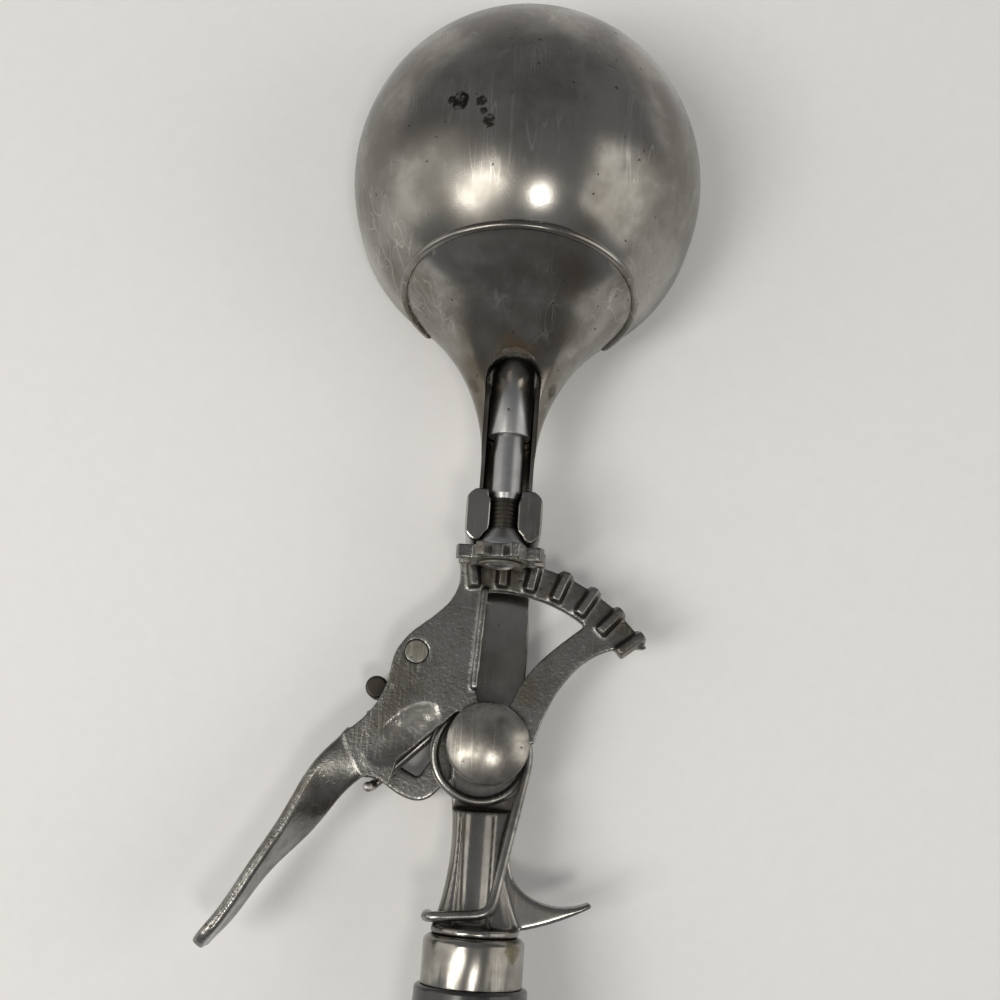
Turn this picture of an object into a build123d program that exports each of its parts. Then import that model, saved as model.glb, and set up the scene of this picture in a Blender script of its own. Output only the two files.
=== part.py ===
from build123d import *

import os
from math import asin, atan2, cos, degrees, hypot, pi, radians, sin, sqrt

os.makedirs("parts", exist_ok=True)

# Frame: origin at the middle of the flat butt, +Y along the handle to the bowl, +Z to the bowl's back.
# All lengths in millimetres, all angles in degrees.

# Handle
grip_length = 93.5
grip_start_radius = 11.0
grip_swell_radius = 12.2
grip_butt_radius = 11.4
butt_rounding = 3.0
ferrule_length = 9.5
ferrule_radius = 9.9
ferrule_wall = 0.8
ferrule_shoulder = 1.6
tang_radius = 3.5
tang_depth = 62.0

# Places along the handle and heights above its axis
shank_reach = 37.0
pinion_reach = 35.75
bowl_reach = 110.75
shaft_rise = 13.0

# Frame casting
web_top = -5.0
web_thickness = 3.2
web_near_width = 15.0
web_far_width = 12.4
shank_start = 13.0
foot_radius = 8.6
foot_thickness = 1.6
foot_width = 16.4
foot_top = 3.4
waist_width = 11.8
waist_reach = 22.0
shank_top = -0.3
shank_width = 13.8
shank_side_shift = 0.7
shank_rounding = 3.0
channel_radius = 4.2
channel_depth = 2.2
channel_shift = -0.9
hook_low = -5.0
hook_high = 1.0
boss_radius = 5.4
boss_height = 5.6
bracket_start = 38.0
bracket_length = 10.5
bracket_half_width = 7.4
bracket_corner = 2.6
finger_rise = 2.5
neck_lap = 2.0

# Lever pivot
post_radius = 3.0
post_head_radius = 5.2
post_head_height = 0.9
cap_radius = 8.2
cap_height = 3.7
cap_edge = 1.3
cap_socket = 1.8
washer_thickness = 0.3

# Lever
cheek_bottom = 1.0
cheek_thickness = 2.6
hub_radius = 7.9
lower_cheek_thickness = 2.7
rack_inner_radius = 30.3
rack_outer_radius = 36.7
rack_tip_radius = 37.4
rack_rim_width = 0.9
rack_left_angle = -13.0
rack_right_angle = 55.0
rack_end_slant = 6.5
rack_pitch_angle = 10.0
rack_phase = 1.2
rack_tooth_height = 2.4
rack_tooth_base = 2.8
rack_tooth_top = 1.5
rim_bead_width = 1.3
rim_bead_height = 0.9
rivet_radius = 2.3
rivet_x = -15.4
rivet_y = 17.2
stud_x = -23.1
stud_y = 10.1
stud_radius = 2.3
stud_height = 6.4
thumb_thickness = 2.5
thumb_height = 12.5
thumb_tip_height = 7.8
dish_radius = 9.0
dish_depth = 1.0
dish_half_length = 8.5

# Scraper drive
pinion_teeth = 8
pinion_thickness = 2.7
pinion_root_radius = 6.4
pinion_tip_radius = 8.86
pinion_tooth_base = 3.0
pinion_tooth_tip = 1.7
pinion_washer_radius = 4.2
pinion_washer_thickness = 0.5
shaft_radius = 2.9
shaft_end_dome = 0.7
spindle_radius = 1.8
bush_radius = 2.5
bush_groove = 0.18
bush_grooves = 6
collar_base_radius = 4.7
collar_length = 3.9
collar_lip = 0.9
sleeve_radius = 4.15
sleeve_length = 16.7
sleeve_taper_length = 2.4
sleeve_end_radius = 3.4
sleeve_end_gap = 0.35

# Bowl and its collar
bowl_radius = 34.5
bowl_wall = 1.0
bowl_skirt = 7.0
collar_wall = 0.7
collar_drop = 5.0
neck_radius = 5.15
neck_blend = 35.0
ring_offset = 27.35
ring_lean = 16.2
bead_radius = 0.8
mouth_bore_radius = 5.2
mouth_start = 70.0
mouth_end = 73.9
mouth_half_width = 5.3
blade_thickness = 0.8
blade_width = 9.0
blade_end_width = 5.6
blade_hub_radius = 3.6
blade_hub_length = 2.2
tip_pin_radius = 1.5

# Torsion spring, one wire of about one and a half turns with two legs
wire_radius = 1.0
coil_radius = 9.3
coil_shift_x = -1.2
coil_shift_y = -1.9
coil_gap = 0.45
coil_full_turns = 1
catch_x = -22.8
catch_y = -9.9
catch_height = 2.6
catch_bend = 2.5
leg_bend_x = 2.75
leg_bend_y = -32.6
leg_bend = 2.4
leg_height = 5.0
leg_lift = 5.0
curl_x = -9.6
curl_drop = 5.0
curl_bend = 3.0

# Clearances: a turning fit, a fixed seat, and free air between parts that pass each other
run_clear = 0.05
seat_clear = 0.02
pass_clear = 0.3
blade_clear = 0.4
solder_gap = 0.05

# Places worked out from the sizes above
pivot_y = grip_length + ferrule_length + shank_reach
shoulder_y = grip_length + ferrule_length
pinion_y = pivot_y + pinion_reach - pinion_thickness / 2
bowl_y = pivot_y + bowl_reach
bracket_y = pivot_y + bracket_start
bracket_end_y = bracket_y + bracket_length
web_bottom = web_top - web_thickness
cheek_top = cheek_bottom + cheek_thickness
lower_cheek_top = web_bottom - pass_clear
lower_cheek_bottom = lower_cheek_top - lower_cheek_thickness
post_bottom = lower_cheek_bottom - pass_clear
cap_bottom = cheek_top + pass_clear
boss_top = web_top + boss_height
collar_foot = pinion_y + pinion_thickness
collar_end_y = collar_foot + collar_length
bush_y = collar_end_y
bush_end_y = bracket_end_y - neck_lap + pass_clear
bush_length = bush_end_y - bush_y
bowl_inner_radius = bowl_radius - bowl_wall
rim_z = shaft_rise - bowl_skirt
sleeve_end_y = bowl_y - bowl_radius - sleeve_end_gap
sleeve_y = sleeve_end_y - sleeve_length
shaft_axis = Axis((0, 0, shaft_rise), (0, 1, 0))
pivot_axis = Axis((0, pivot_y, 0), (0, 0, 1))
shaft_plane = Plane.XY.offset(shaft_rise)
pivot_side = Plane.XZ.offset(-pivot_y)


def pivot_plane(height):
    # Flat plane at a height, with its origin on the lever pivot
    return Plane((0, pivot_y, height))


def station(y, height=0.0):
    # Upright plane across the handle, local axes +X and +Z; negative extrusion runs towards the bowl
    return Plane((0, y, height), x_dir=(1, 0, 0), z_dir=(0, -1, 0))


def polar(radius, angle):
    # Point about the lever pivot, angle measured from +Y towards +X
    return (radius * sin(radians(angle)), radius * cos(radians(angle)))


def keep(piece, name):
    piece.part.label = name
    export_step(piece.part, f"parts/{name}.step")


# Grip: a turned handle with a tenon for the ferrule and a blind hole for the tang
tenon_radius = ferrule_radius - ferrule_wall - solder_gap
tenon_end = shoulder_y - ferrule_wall - solder_gap
with BuildPart() as grip:
    with BuildSketch(Plane.XY) as grip_half:
        with BuildLine():
            butt = Line((0, 0), (grip_butt_radius, 0))
            side = ThreePointArc(
                butt @ 1, (grip_swell_radius, grip_length * 0.45), (grip_start_radius, grip_length)
            )
            Polyline(
                side @ 1,
                (tenon_radius, grip_length),
                (tenon_radius, tenon_end),
                (0, tenon_end),
                (0, 0),
            )
        make_face()
        fillet(grip_half.vertices().sort_by_distance((grip_butt_radius, 0))[0], butt_rounding)
        fillet(grip_half.vertices().sort_by_distance((grip_start_radius, grip_length))[0], ferrule_wall)
    revolve(axis=Axis.Y)
    with BuildSketch(station(shoulder_y)):
        Circle(tang_radius + seat_clear)
    extrude(amount=tang_depth + seat_clear, mode=Mode.SUBTRACT)
keep(grip, "grip")

# Ferrule: a drawn cup over the tenon, its closed end pierced for the tang
with BuildPart() as ferrule:
    with BuildSketch(station(grip_length + solder_gap)):
        Circle(ferrule_radius)
    extrude(amount=-(ferrule_length - solder_gap))
    fillet(ferrule.edges().group_by(Axis.Y)[-1], ferrule_shoulder)
    with BuildSketch(station(grip_length)):
        Circle(ferrule_radius - ferrule_wall)
    extrude(amount=-(ferrule_length - ferrule_wall), mode=Mode.SUBTRACT)
    with BuildSketch(station(grip_length)):
        Circle(tang_radius + seat_clear)
    extrude(amount=-ferrule_length, mode=Mode.SUBTRACT)
keep(ferrule, "ferrule")

# Frame casting: tang, foot, shank with its channel, finger hook, web, pivot boss and shaft bracket
shank_y = pivot_y - shank_start
waist_y = pivot_y - waist_reach
foot_y = shoulder_y + foot_thickness
waist_top = shank_top + (foot_top - shank_top) * (shank_y - waist_y) / (shank_y - foot_y)
shank_sections = [
    (foot_y - seat_clear, 0.0, foot_width, foot_top),
    (waist_y, 0.0, waist_width, waist_top),
    (shank_y, shank_side_shift, shank_width, shank_top),
]
channel_slope = (foot_top - shank_top) / (shank_y - foot_y)
channel_plane = Plane((0, shank_y + 1, shank_top), x_dir=(1, 0, 0), z_dir=(0, -1, channel_slope))
hook_root = -shank_reach + foot_thickness
hook_top = [(6.0, -22.1), (8.3, -27.6), (13.4, -30.3), (22.1, -29.3)]
hook_tip = (22.6, -30.2)
hook_under = [hook_tip, (14.6, -33.9), (9.8, hook_root)]
swoop_radius = 14.0
with BuildPart() as frame:
    with BuildSketch(station(shoulder_y - tang_depth)):
        Circle(tang_radius)
    extrude(amount=-(tang_depth + foot_thickness))
    with BuildSketch(station(shoulder_y)):
        Circle(foot_radius)
    extrude(amount=-foot_thickness)
    for section_y, section_x, section_width, section_top in shank_sections:
        section_height = section_top - web_bottom
        with BuildSketch(station(section_y, web_bottom + section_height / 2)):
            with Locations((section_x, 0)):
                RectangleRounded(section_width, section_height, shank_rounding)
    loft()
    with BuildSketch(pivot_plane(hook_low)):
        with BuildLine():
            Spline(hook_top)
            Line(hook_top[-1], hook_tip)
            Spline(hook_under)
            Polyline(hook_under[-1], (0, hook_root), (0, hook_top[0][1]), hook_top[0])
        make_face()
    extrude(amount=hook_high - hook_low)
    with BuildSketch(channel_plane):
        with Locations((channel_shift, channel_radius - channel_depth)):
            Circle(channel_radius)
    extrude(amount=shank_y + 1 - foot_y, mode=Mode.SUBTRACT)
    with BuildSketch(pivot_plane(web_bottom)):
        Circle(hub_radius + run_clear)
        with BuildLine():
            Polyline(
                (-shank_width / 2 + shank_side_shift, -shank_start - 1),
                (shank_width / 2 + shank_side_shift, -shank_start - 1),
                (web_near_width / 2, 0),
                (web_far_width / 2, bracket_start + 1),
                (-web_far_width / 2, bracket_start + 1),
                (-web_near_width / 2, 0),
                close=True,
            )
        make_face()
    extrude(amount=web_thickness)
    with BuildSketch(pivot_plane(web_top)):
        Circle(boss_radius)
    extrude(amount=boss_height)
    with BuildSketch(Plane((0, bracket_y + bracket_length / 2, web_bottom))):
        RectangleRounded(2 * bracket_half_width, bracket_length, bracket_corner)
    extrude(amount=shaft_rise + finger_rise - web_bottom)
    with BuildSketch(Plane.YZ):
        with Locations((bracket_end_y + 3, web_bottom - 1)):
            Circle(swoop_radius)
    extrude(amount=bracket_half_width + 1, both=True, mode=Mode.SUBTRACT)
    with BuildSketch(station(bracket_y - 1, shaft_rise)):
        Circle(bush_radius + run_clear)
        with Locations((0, finger_rise)):
            Rectangle(2 * (bush_radius + run_clear), 2 * finger_rise + 1)
    extrude(amount=-(bracket_length + 2), mode=Mode.SUBTRACT)
    with BuildSketch(shaft_plane):
        with BuildLine():
            Polyline(
                (0, bracket_y - 1),
                (collar_base_radius + pass_clear, bracket_y - 1),
                (collar_base_radius + pass_clear, collar_foot + collar_lip + pass_clear),
                (shaft_radius + pass_clear, collar_end_y + pass_clear),
                (0, collar_end_y + pass_clear),
                close=True,
            )
        make_face()
    revolve(axis=shaft_axis, mode=Mode.SUBTRACT)
    with BuildSketch(station(bracket_end_y - neck_lap, shaft_rise)):
        Circle(neck_radius + seat_clear)
        with Locations((0, neck_radius + seat_clear)):
            Rectangle(2 * neck_radius + 1, 2 * neck_radius, mode=Mode.SUBTRACT)
        Circle(shaft_radius + pass_clear)
        with Locations((0, finger_rise)):
            Rectangle(2 * (shaft_radius + pass_clear), 2 * finger_rise + 1)
    extrude(amount=-(neck_lap + 1), mode=Mode.SUBTRACT)
    with BuildSketch(pivot_plane(web_bottom - 1)):
        Circle(post_radius + seat_clear)
    extrude(amount=boss_height + web_thickness + 2, mode=Mode.SUBTRACT)
keep(frame, "frame")

# Pivot post: a headed pin through both cheeks and the frame, up into the cap
with BuildPart() as pivot_post:
    with BuildSketch(pivot_plane(post_bottom)):
        Circle(post_radius)
    extrude(amount=cap_bottom + cap_socket - post_bottom)
    with BuildSketch(pivot_plane(post_bottom)):
        Circle(post_head_radius)
    extrude(amount=-post_head_height)
    fillet(pivot_post.edges().group_by(Axis.Z)[0], post_head_height / 2)
keep(pivot_post, "pivot_post")

# Pivot cap: a domed button over the post's end
crown_rise = cap_height - cap_edge
crown_radius = (crown_rise**2 + cap_radius**2) / (2 * crown_rise)
crown_half_turn = asin(cap_radius / crown_radius) / 2
crown_middle = (
    crown_radius * sin(crown_half_turn),
    cap_bottom + cap_height - crown_radius * (1 - cos(crown_half_turn)),
)
with BuildPart() as pivot_cap:
    with BuildSketch(pivot_side):
        with BuildLine():
            flat = Line((0, cap_bottom), (cap_radius, cap_bottom))
            edge = Line(flat @ 1, (cap_radius, cap_bottom + cap_edge))
            crown = ThreePointArc(edge @ 1, crown_middle, (0, cap_bottom + cap_height))
            Line(crown @ 1, (0, cap_bottom))
        make_face()
    revolve(axis=pivot_axis)
    with BuildSketch(pivot_plane(cap_bottom)):
        Circle(post_radius + seat_clear)
    extrude(amount=cap_socket + seat_clear, mode=Mode.SUBTRACT)
keep(pivot_cap, "pivot_cap")

# Pivot washer: between the frame's boss and the lever
with BuildPart() as pivot_washer:
    with BuildSketch(pivot_plane(boss_top + seat_clear)):
        Circle(boss_radius - seat_clear)
        Circle(post_radius + seat_clear, mode=Mode.SUBTRACT)
    extrude(amount=washer_thickness)
keep(pivot_washer, "pivot_washer")

# Rack lever: cheek plate, toothed sector with its arm, and the thumb piece that twists upright
cheek_left = [(-11.3, 25.7), (-17.6, 20.0), (-19.8, 16.0), (-20.7, 10.7), (-23.0, 5.8), (-28.8, 0.3)]
cheek_low = [(-24.4, -8.2), (-22.8, -8.0), (-20.9, -8.5), (-18.9, -9.7)]
fork_corner = (-17.5, -4.4)
cheek_under = (-5.9, 6.2)
rim_bead_top = polar(rack_inner_radius, -5.0)
rim_bead_foot = (-3.5, 11.1)
arm_inner = [(17.4, 24.5), (12.9, 20.6), (7.1, 14.4), (4.5, 9.3)]
arm_outer = [(9.0, 0.5), (11.0, 6.8), (17.5, 16.8), polar(rack_outer_radius - 0.6, rack_right_angle)]
thumb_way = (-0.60, -0.80)
thumb_stations = [
    (-24.3, -1.2, 2.3, 0.0, 9.0),
    (-26.7, -4.4, 2.3, 0.0, 9.2),
    (-29.6, -7.3, 1.9, 12.0, 8.8),
    (-33.5, -12.9, 0.4, 40.0, 9.0),
    (-37.3, -18.9, -1.2, 66.0, 10.6),
    (-43.6, -27.6, -2.2, 85.0, thumb_height),
    (-51.6, -39.8, -2.2, 90.0, thumb_height),
    (-53.4, -42.4, -2.2, 90.0, thumb_tip_height),
]
dish_middle = Vector(-16.3, pivot_y + 0.7, cheek_top - dish_depth + dish_radius)
leg_slant = (0.711, 0.703, 0)
leg_side = (0.703, -0.711, 0)
with BuildPart() as rack_lever:
    with BuildSketch(pivot_plane(cheek_bottom)):
        Circle(hub_radius)
        with BuildLine():
            cheek_side = Spline(polar(rack_outer_radius - 1.0, rack_left_angle), *cheek_left)
            Line(cheek_side @ 1, cheek_low[0])
            cheek_edge = Spline(cheek_low)
            Polyline(cheek_edge @ 1, fork_corner, cheek_under, (0, 0), rim_bead_foot, rim_bead_top,
                     polar(rack_inner_radius + 2, -4.0), cheek_side @ 0)
        make_face()
        with BuildLine():
            Spline(arm_inner)
            Polyline(arm_inner[-1], (0, 0), arm_outer[0])
            Spline(arm_outer)
            Polyline(arm_outer[-1], polar(rack_inner_radius + 2, rack_right_angle - 9),
                     polar(rack_inner_radius + 1, rack_right_angle - 19), arm_inner[0])
        make_face()
        with BuildLine():
            outer_arc = ThreePointArc(
                polar(rack_outer_radius, rack_left_angle),
                polar(rack_outer_radius, (rack_left_angle + rack_right_angle) / 2),
                polar(rack_outer_radius, rack_right_angle),
            )
            inner_arc = ThreePointArc(
                polar(rack_inner_radius, rack_right_angle - rack_end_slant),
                polar(rack_inner_radius, (rack_left_angle + rack_right_angle) / 2),
                polar(rack_inner_radius, rack_left_angle),
            )
            Line(outer_arc @ 1, inner_arc @ 0)
            Line(inner_arc @ 1, outer_arc @ 0)
        make_face()
    extrude(amount=cheek_thickness)
    for thumb_x, thumb_y, thumb_z, thumb_roll, thumb_width in thumb_stations:
        level = cos(radians(thumb_roll))
        thumb_side = (-thumb_way[1] * level, thumb_way[0] * level, -sin(radians(thumb_roll)))
        thumb_spot = (thumb_x, pivot_y + thumb_y, thumb_z)
        with BuildSketch(Plane(thumb_spot, x_dir=thumb_side, z_dir=(*thumb_way, 0))):
            RectangleRounded(thumb_width, thumb_thickness, thumb_thickness * 0.42)
    loft()
    with BuildSketch(Plane(dish_middle, x_dir=leg_slant, z_dir=leg_side)):
        with BuildLine():
            dish_curve = ThreePointArc(
                (-dish_half_length, dish_radius - dish_depth),
                (0, dish_radius),
                (dish_half_length, dish_radius - dish_depth),
            )
            Polyline(dish_curve @ 1, (dish_half_length, 0), (-dish_half_length, 0), dish_curve @ 0)
        make_face()
    revolve(axis=Axis(dish_middle, leg_slant), mode=Mode.SUBTRACT)
    tooth_angle = rack_phase - rack_pitch_angle
    while tooth_angle < rack_right_angle - 2:
        tooth_foot = polar(rack_inner_radius + rack_rim_width, tooth_angle)
        tooth_plane = Plane(
            (tooth_foot[0], pivot_y + tooth_foot[1], cheek_top),
            x_dir=(-cos(radians(tooth_angle)), sin(radians(tooth_angle)), 0),
            z_dir=(sin(radians(tooth_angle)), cos(radians(tooth_angle)), 0),
        )
        with BuildSketch(tooth_plane):
            Polygon(
                (-rack_tooth_base / 2, -cheek_thickness * 0.7),
                (rack_tooth_base / 2, -cheek_thickness * 0.7),
                (rack_tooth_base / 2, 0),
                (rack_tooth_top / 2, rack_tooth_height),
                (-rack_tooth_top / 2, rack_tooth_height),
                (-rack_tooth_base / 2, 0),
                align=None,
            )
        extrude(amount=rack_tip_radius - rack_inner_radius - rack_rim_width)
        tooth_angle += rack_pitch_angle
    with BuildSketch(pivot_plane(cheek_top - seat_clear)):
        with BuildLine():
            bead_line = Line(rim_bead_top, rim_bead_foot)
        SlotArc(bead_line, rim_bead_width)
    extrude(amount=rim_bead_height)
    with BuildSketch(pivot_plane(cheek_bottom - 1)):
        Circle(post_radius + run_clear)
        with Locations((rivet_x, rivet_y)):
            Circle(rivet_radius + seat_clear)
    extrude(amount=cheek_thickness + 2, mode=Mode.SUBTRACT)
keep(rack_lever, "rack_lever")

# Lower cheek: the second lever plate, under the frame
lower_left = [(-9.5, 25.0), (-15.0, 23.6), (-20.6, 17.6), (-21.2, 12.4), (-25.4, 5.4)]
lower_under = [(-24.6, -8.0), (-21.7, -8.4), (-19.2, -9.9), (-14.5, -11.9), (-9.5, -9.5)]
lower_window = [(-18.2, -4.9), (-11.4, 1.4), (-11.5, -3.6), (-13.8, -7.2)]
with BuildPart() as lower_cheek:
    with BuildSketch(pivot_plane(lower_cheek_bottom)):
        Circle(hub_radius)
        with BuildLine():
            lower_side = Spline(lower_left)
            Line(lower_side @ 1, lower_under[0])
            Spline(lower_under)
            Polyline(lower_under[-1], (0, 0), lower_side @ 0)
        make_face()
        with BuildLine(mode=Mode.PRIVATE) as window_line:
            FilletPolyline(lower_window, radius=0.8, close=True)
        make_face(window_line.edges(), mode=Mode.SUBTRACT)
        Circle(post_radius + run_clear, mode=Mode.SUBTRACT)
        with Locations((rivet_x, rivet_y)):
            Circle(rivet_radius + seat_clear, mode=Mode.SUBTRACT)
        with Locations((stud_x, stud_y)):
            Circle(stud_radius / 2 + seat_clear, mode=Mode.SUBTRACT)
    extrude(amount=lower_cheek_thickness)
keep(lower_cheek, "lower_cheek")

# Cheek rivet: ties the two lever plates together, with a shouldered middle
with BuildPart() as cheek_rivet:
    with BuildSketch(pivot_plane(lower_cheek_bottom)):
        with Locations((rivet_x, rivet_y)):
            Circle(rivet_radius)
    extrude(amount=cheek_top - lower_cheek_bottom)
keep(cheek_rivet, "cheek_rivet")

# Lever stud: a dark stop stud on the lower cheek
with BuildPart() as lever_stud:
    with BuildSketch(pivot_plane(lower_cheek_bottom)):
        with Locations((stud_x, stud_y)):
            Circle(stud_radius / 2)
    extrude(amount=lower_cheek_thickness)
    with BuildSketch(pivot_plane(lower_cheek_top)):
        with Locations((stud_x, stud_y)):
            Circle(stud_radius)
    extrude(amount=stud_height)
    fillet(lever_stud.edges().group_by(Axis.Z)[-1], stud_radius / 4)
keep(lever_stud, "lever_stud")

# Pinion: stubby teeth that mesh with the lever's sector from above
pitch_radius = pinion_teeth * pinion_reach * rack_pitch_angle / 360
rack_offset = pinion_reach * sin(radians(rack_phase))
first_tooth = 270 + degrees(rack_offset / pitch_radius) + 180 / pinion_teeth
with BuildPart() as pinion:
    with BuildSketch(station(pinion_y, shaft_rise)):
        Circle(pinion_root_radius)
        with PolarLocations(0, pinion_teeth, start_angle=first_tooth):
            Polygon(
                (shaft_radius, -pinion_tooth_base / 2),
                (pinion_root_radius, -pinion_tooth_base / 2),
                (pinion_tip_radius, -pinion_tooth_tip / 2),
                (pinion_tip_radius, pinion_tooth_tip / 2),
                (pinion_root_radius, pinion_tooth_base / 2),
                (shaft_radius, pinion_tooth_base / 2),
                align=None,
            )
        Circle(spindle_radius + seat_clear, mode=Mode.SUBTRACT)
    extrude(amount=-pinion_thickness)
keep(pinion, "pinion")

# Pinion washer: under the shaft's riveted end
with BuildPart() as pinion_washer:
    with BuildSketch(station(pinion_y - pinion_washer_thickness, shaft_rise)):
        Circle(pinion_washer_radius)
        Circle(spindle_radius + seat_clear, mode=Mode.SUBTRACT)
    extrude(amount=-pinion_washer_thickness)
keep(pinion_washer, "pinion_washer")

# Thrust collar: a cone between the pinion and the bracket
with BuildPart() as thrust_collar:
    with BuildSketch(shaft_plane):
        with BuildLine():
            Polyline(
                (spindle_radius + seat_clear, collar_foot),
                (collar_base_radius, collar_foot),
                (collar_base_radius, collar_foot + collar_lip),
                (shaft_radius, collar_end_y),
                (spindle_radius + seat_clear, collar_end_y),
                close=True,
            )
        make_face()
    revolve(axis=shaft_axis)
keep(thrust_collar, "thrust_collar")

# Grooved bush: the dark journal that turns between the bracket's fingers
with BuildPart() as grooved_bush:
    with BuildSketch(station(bush_y, shaft_rise)):
        Circle(bush_radius)
        Circle(spindle_radius + seat_clear, mode=Mode.SUBTRACT)
    extrude(amount=-bush_length)
    groove_step = bush_length / (bush_grooves + 1)
    for groove in range(bush_grooves):
        with BuildSketch(station(bush_y + (groove + 0.75) * groove_step, shaft_rise)):
            Circle(bush_radius + 1)
            Circle(bush_radius - bush_groove, mode=Mode.SUBTRACT)
        extrude(amount=-groove_step / 2, mode=Mode.SUBTRACT)
keep(grooved_bush, "grooved_bush")

# Scraper shaft: a spindle through pinion and bush, stepped up to the rod that enters the bowl
rivet_y_end = pinion_y - pinion_washer_thickness
shaft_end_y = bowl_y - bowl_inner_radius + blade_clear + blade_hub_length
with BuildPart() as scraper_shaft:
    with BuildSketch(shaft_plane):
        with BuildLine():
            dome = ThreePointArc(
                (0, rivet_y_end - shaft_end_dome),
                (shaft_radius * 0.72, rivet_y_end - shaft_end_dome * 0.66),
                (shaft_radius, rivet_y_end),
            )
            Polyline(
                dome @ 1,
                (spindle_radius, rivet_y_end),
                (spindle_radius, bush_end_y),
                (bush_radius, bush_end_y),
                (shaft_radius, bush_end_y + 1),
                (shaft_radius, shaft_end_y),
                (0, shaft_end_y),
                dome @ 0,
            )
        make_face()
    revolve(axis=shaft_axis)
keep(scraper_shaft, "scraper_shaft")

# Shaft sleeve: the thicker tube that runs up into the collar's mouth
with BuildPart() as shaft_sleeve:
    with BuildSketch(shaft_plane):
        with BuildLine():
            Polyline(
                (shaft_radius + seat_clear, sleeve_y),
                (sleeve_radius, sleeve_y),
                (sleeve_radius, sleeve_end_y - sleeve_taper_length),
                (sleeve_end_radius, sleeve_end_y),
                (shaft_radius + seat_clear, sleeve_end_y),
                close=True,
            )
        make_face()
    revolve(axis=shaft_axis)
keep(shaft_sleeve, "shaft_sleeve")

# Scraper blade: a band that follows the inside of the bowl, with an eye at each end
blade_radius = bowl_inner_radius - blade_clear
eye_reach = blade_radius - 0.2
with BuildPart() as scraper_blade:
    with Locations((0, bowl_y, shaft_rise)):
        Sphere(blade_radius)
        Sphere(blade_radius - blade_thickness, mode=Mode.SUBTRACT)
    with BuildSketch(Plane((0, bowl_y, shaft_rise), x_dir=(0, 1, 0), z_dir=(1, 0, 0))):
        with BuildLine():
            Polyline(
                (-blade_radius - 1, blade_end_width / 2),
                (-blade_radius * 0.75, blade_width / 2),
                (blade_radius * 0.75, blade_width / 2),
                (blade_radius + 1, blade_end_width / 2),
                (blade_radius + 1, -blade_end_width / 2),
                (blade_radius * 0.75, -blade_width / 2),
                (-blade_radius * 0.75, -blade_width / 2),
                (-blade_radius - 1, -blade_end_width / 2),
                close=True,
            )
        make_face()
    extrude(amount=-blade_radius - 1, mode=Mode.INTERSECT)
    for eye_y in (bowl_y - eye_reach, bowl_y + eye_reach - blade_hub_length):
        with BuildSketch(station(eye_y, shaft_rise)):
            Circle(blade_hub_radius)
        extrude(amount=-blade_hub_length)
    with BuildSketch(station(bowl_y - bowl_radius, shaft_rise)):
        Circle(shaft_radius + seat_clear)
    extrude(amount=-bowl_radius, mode=Mode.SUBTRACT)
    with BuildSketch(station(bowl_y, shaft_rise)):
        Circle(tip_pin_radius + run_clear)
    extrude(amount=-bowl_radius, mode=Mode.SUBTRACT)
keep(scraper_blade, "scraper_blade")

# Tip pin: set in the bowl's front wall, carries the blade's far eye
tip_pin_y = bowl_y + eye_reach - blade_hub_length
with BuildPart() as tip_pin:
    with BuildSketch(station(tip_pin_y, shaft_rise)):
        Circle(tip_pin_radius)
    extrude(amount=-(bowl_y + bowl_radius - solder_gap - tip_pin_y))
keep(tip_pin, "tip_pin")

# Bowl: a half round shell with a short straight skirt, pierced for the shaft and the tip pin
with BuildPart() as bowl:
    with BuildSketch(Plane.XZ.offset(-bowl_y)):
        with BuildLine():
            outer = CenterArc((0, shaft_rise), bowl_radius, 0, 90)
            inner = CenterArc((0, shaft_rise), bowl_inner_radius, 0, 90)
            Line(outer @ 1, inner @ 1)
            Polyline(outer @ 0, (bowl_radius, rim_z), (bowl_inner_radius, rim_z), inner @ 0)
        make_face()
    revolve(axis=Axis((0, bowl_y, 0), (0, 0, 1)))
    with BuildSketch(station(bowl_y - bowl_radius - 1, shaft_rise)):
        Circle(shaft_radius + run_clear)
    extrude(amount=-bowl_radius, mode=Mode.SUBTRACT)
    with BuildSketch(station(bowl_y, shaft_rise)):
        Circle(tip_pin_radius + seat_clear)
    extrude(amount=-bowl_radius - 1, mode=Mode.SUBTRACT)
keep(bowl, "bowl")

# Bowl collar: a cup soldered to the bowl that narrows into a trough under the shaft
cup_radius = bowl_radius + collar_wall
blend_rise = neck_radius + neck_blend
blend_back = sqrt((cup_radius + neck_blend) ** 2 - blend_rise**2)
blend_y = bowl_y - blend_back
cup_share = cup_radius / (cup_radius + neck_blend)
cup_meet = (blend_rise * cup_share, bowl_y - blend_back * cup_share)
cup_middle = (cup_radius * cos(radians(35)), bowl_y - cup_radius * sin(radians(35)))
blend_turn = atan2(blend_rise - cup_meet[0], cup_meet[1] - blend_y)
blend_half = (blend_turn + pi / 2) / 2
blend_middle = (blend_rise - neck_blend * sin(blend_half), blend_y + neck_blend * cos(blend_half))
ring_normal = (0, -cos(radians(ring_lean)), sin(radians(ring_lean)))
ring_center = Vector(0, bowl_y, shaft_rise) + Vector(*ring_normal) * ring_offset
ring_across = (0, -sin(radians(ring_lean)), -cos(radians(ring_lean)))
ring_radius = sqrt(cup_radius**2 - ring_offset**2)
neck_y = bracket_end_y - neck_lap + solder_gap
trough_radius = sleeve_radius + pass_clear
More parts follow.
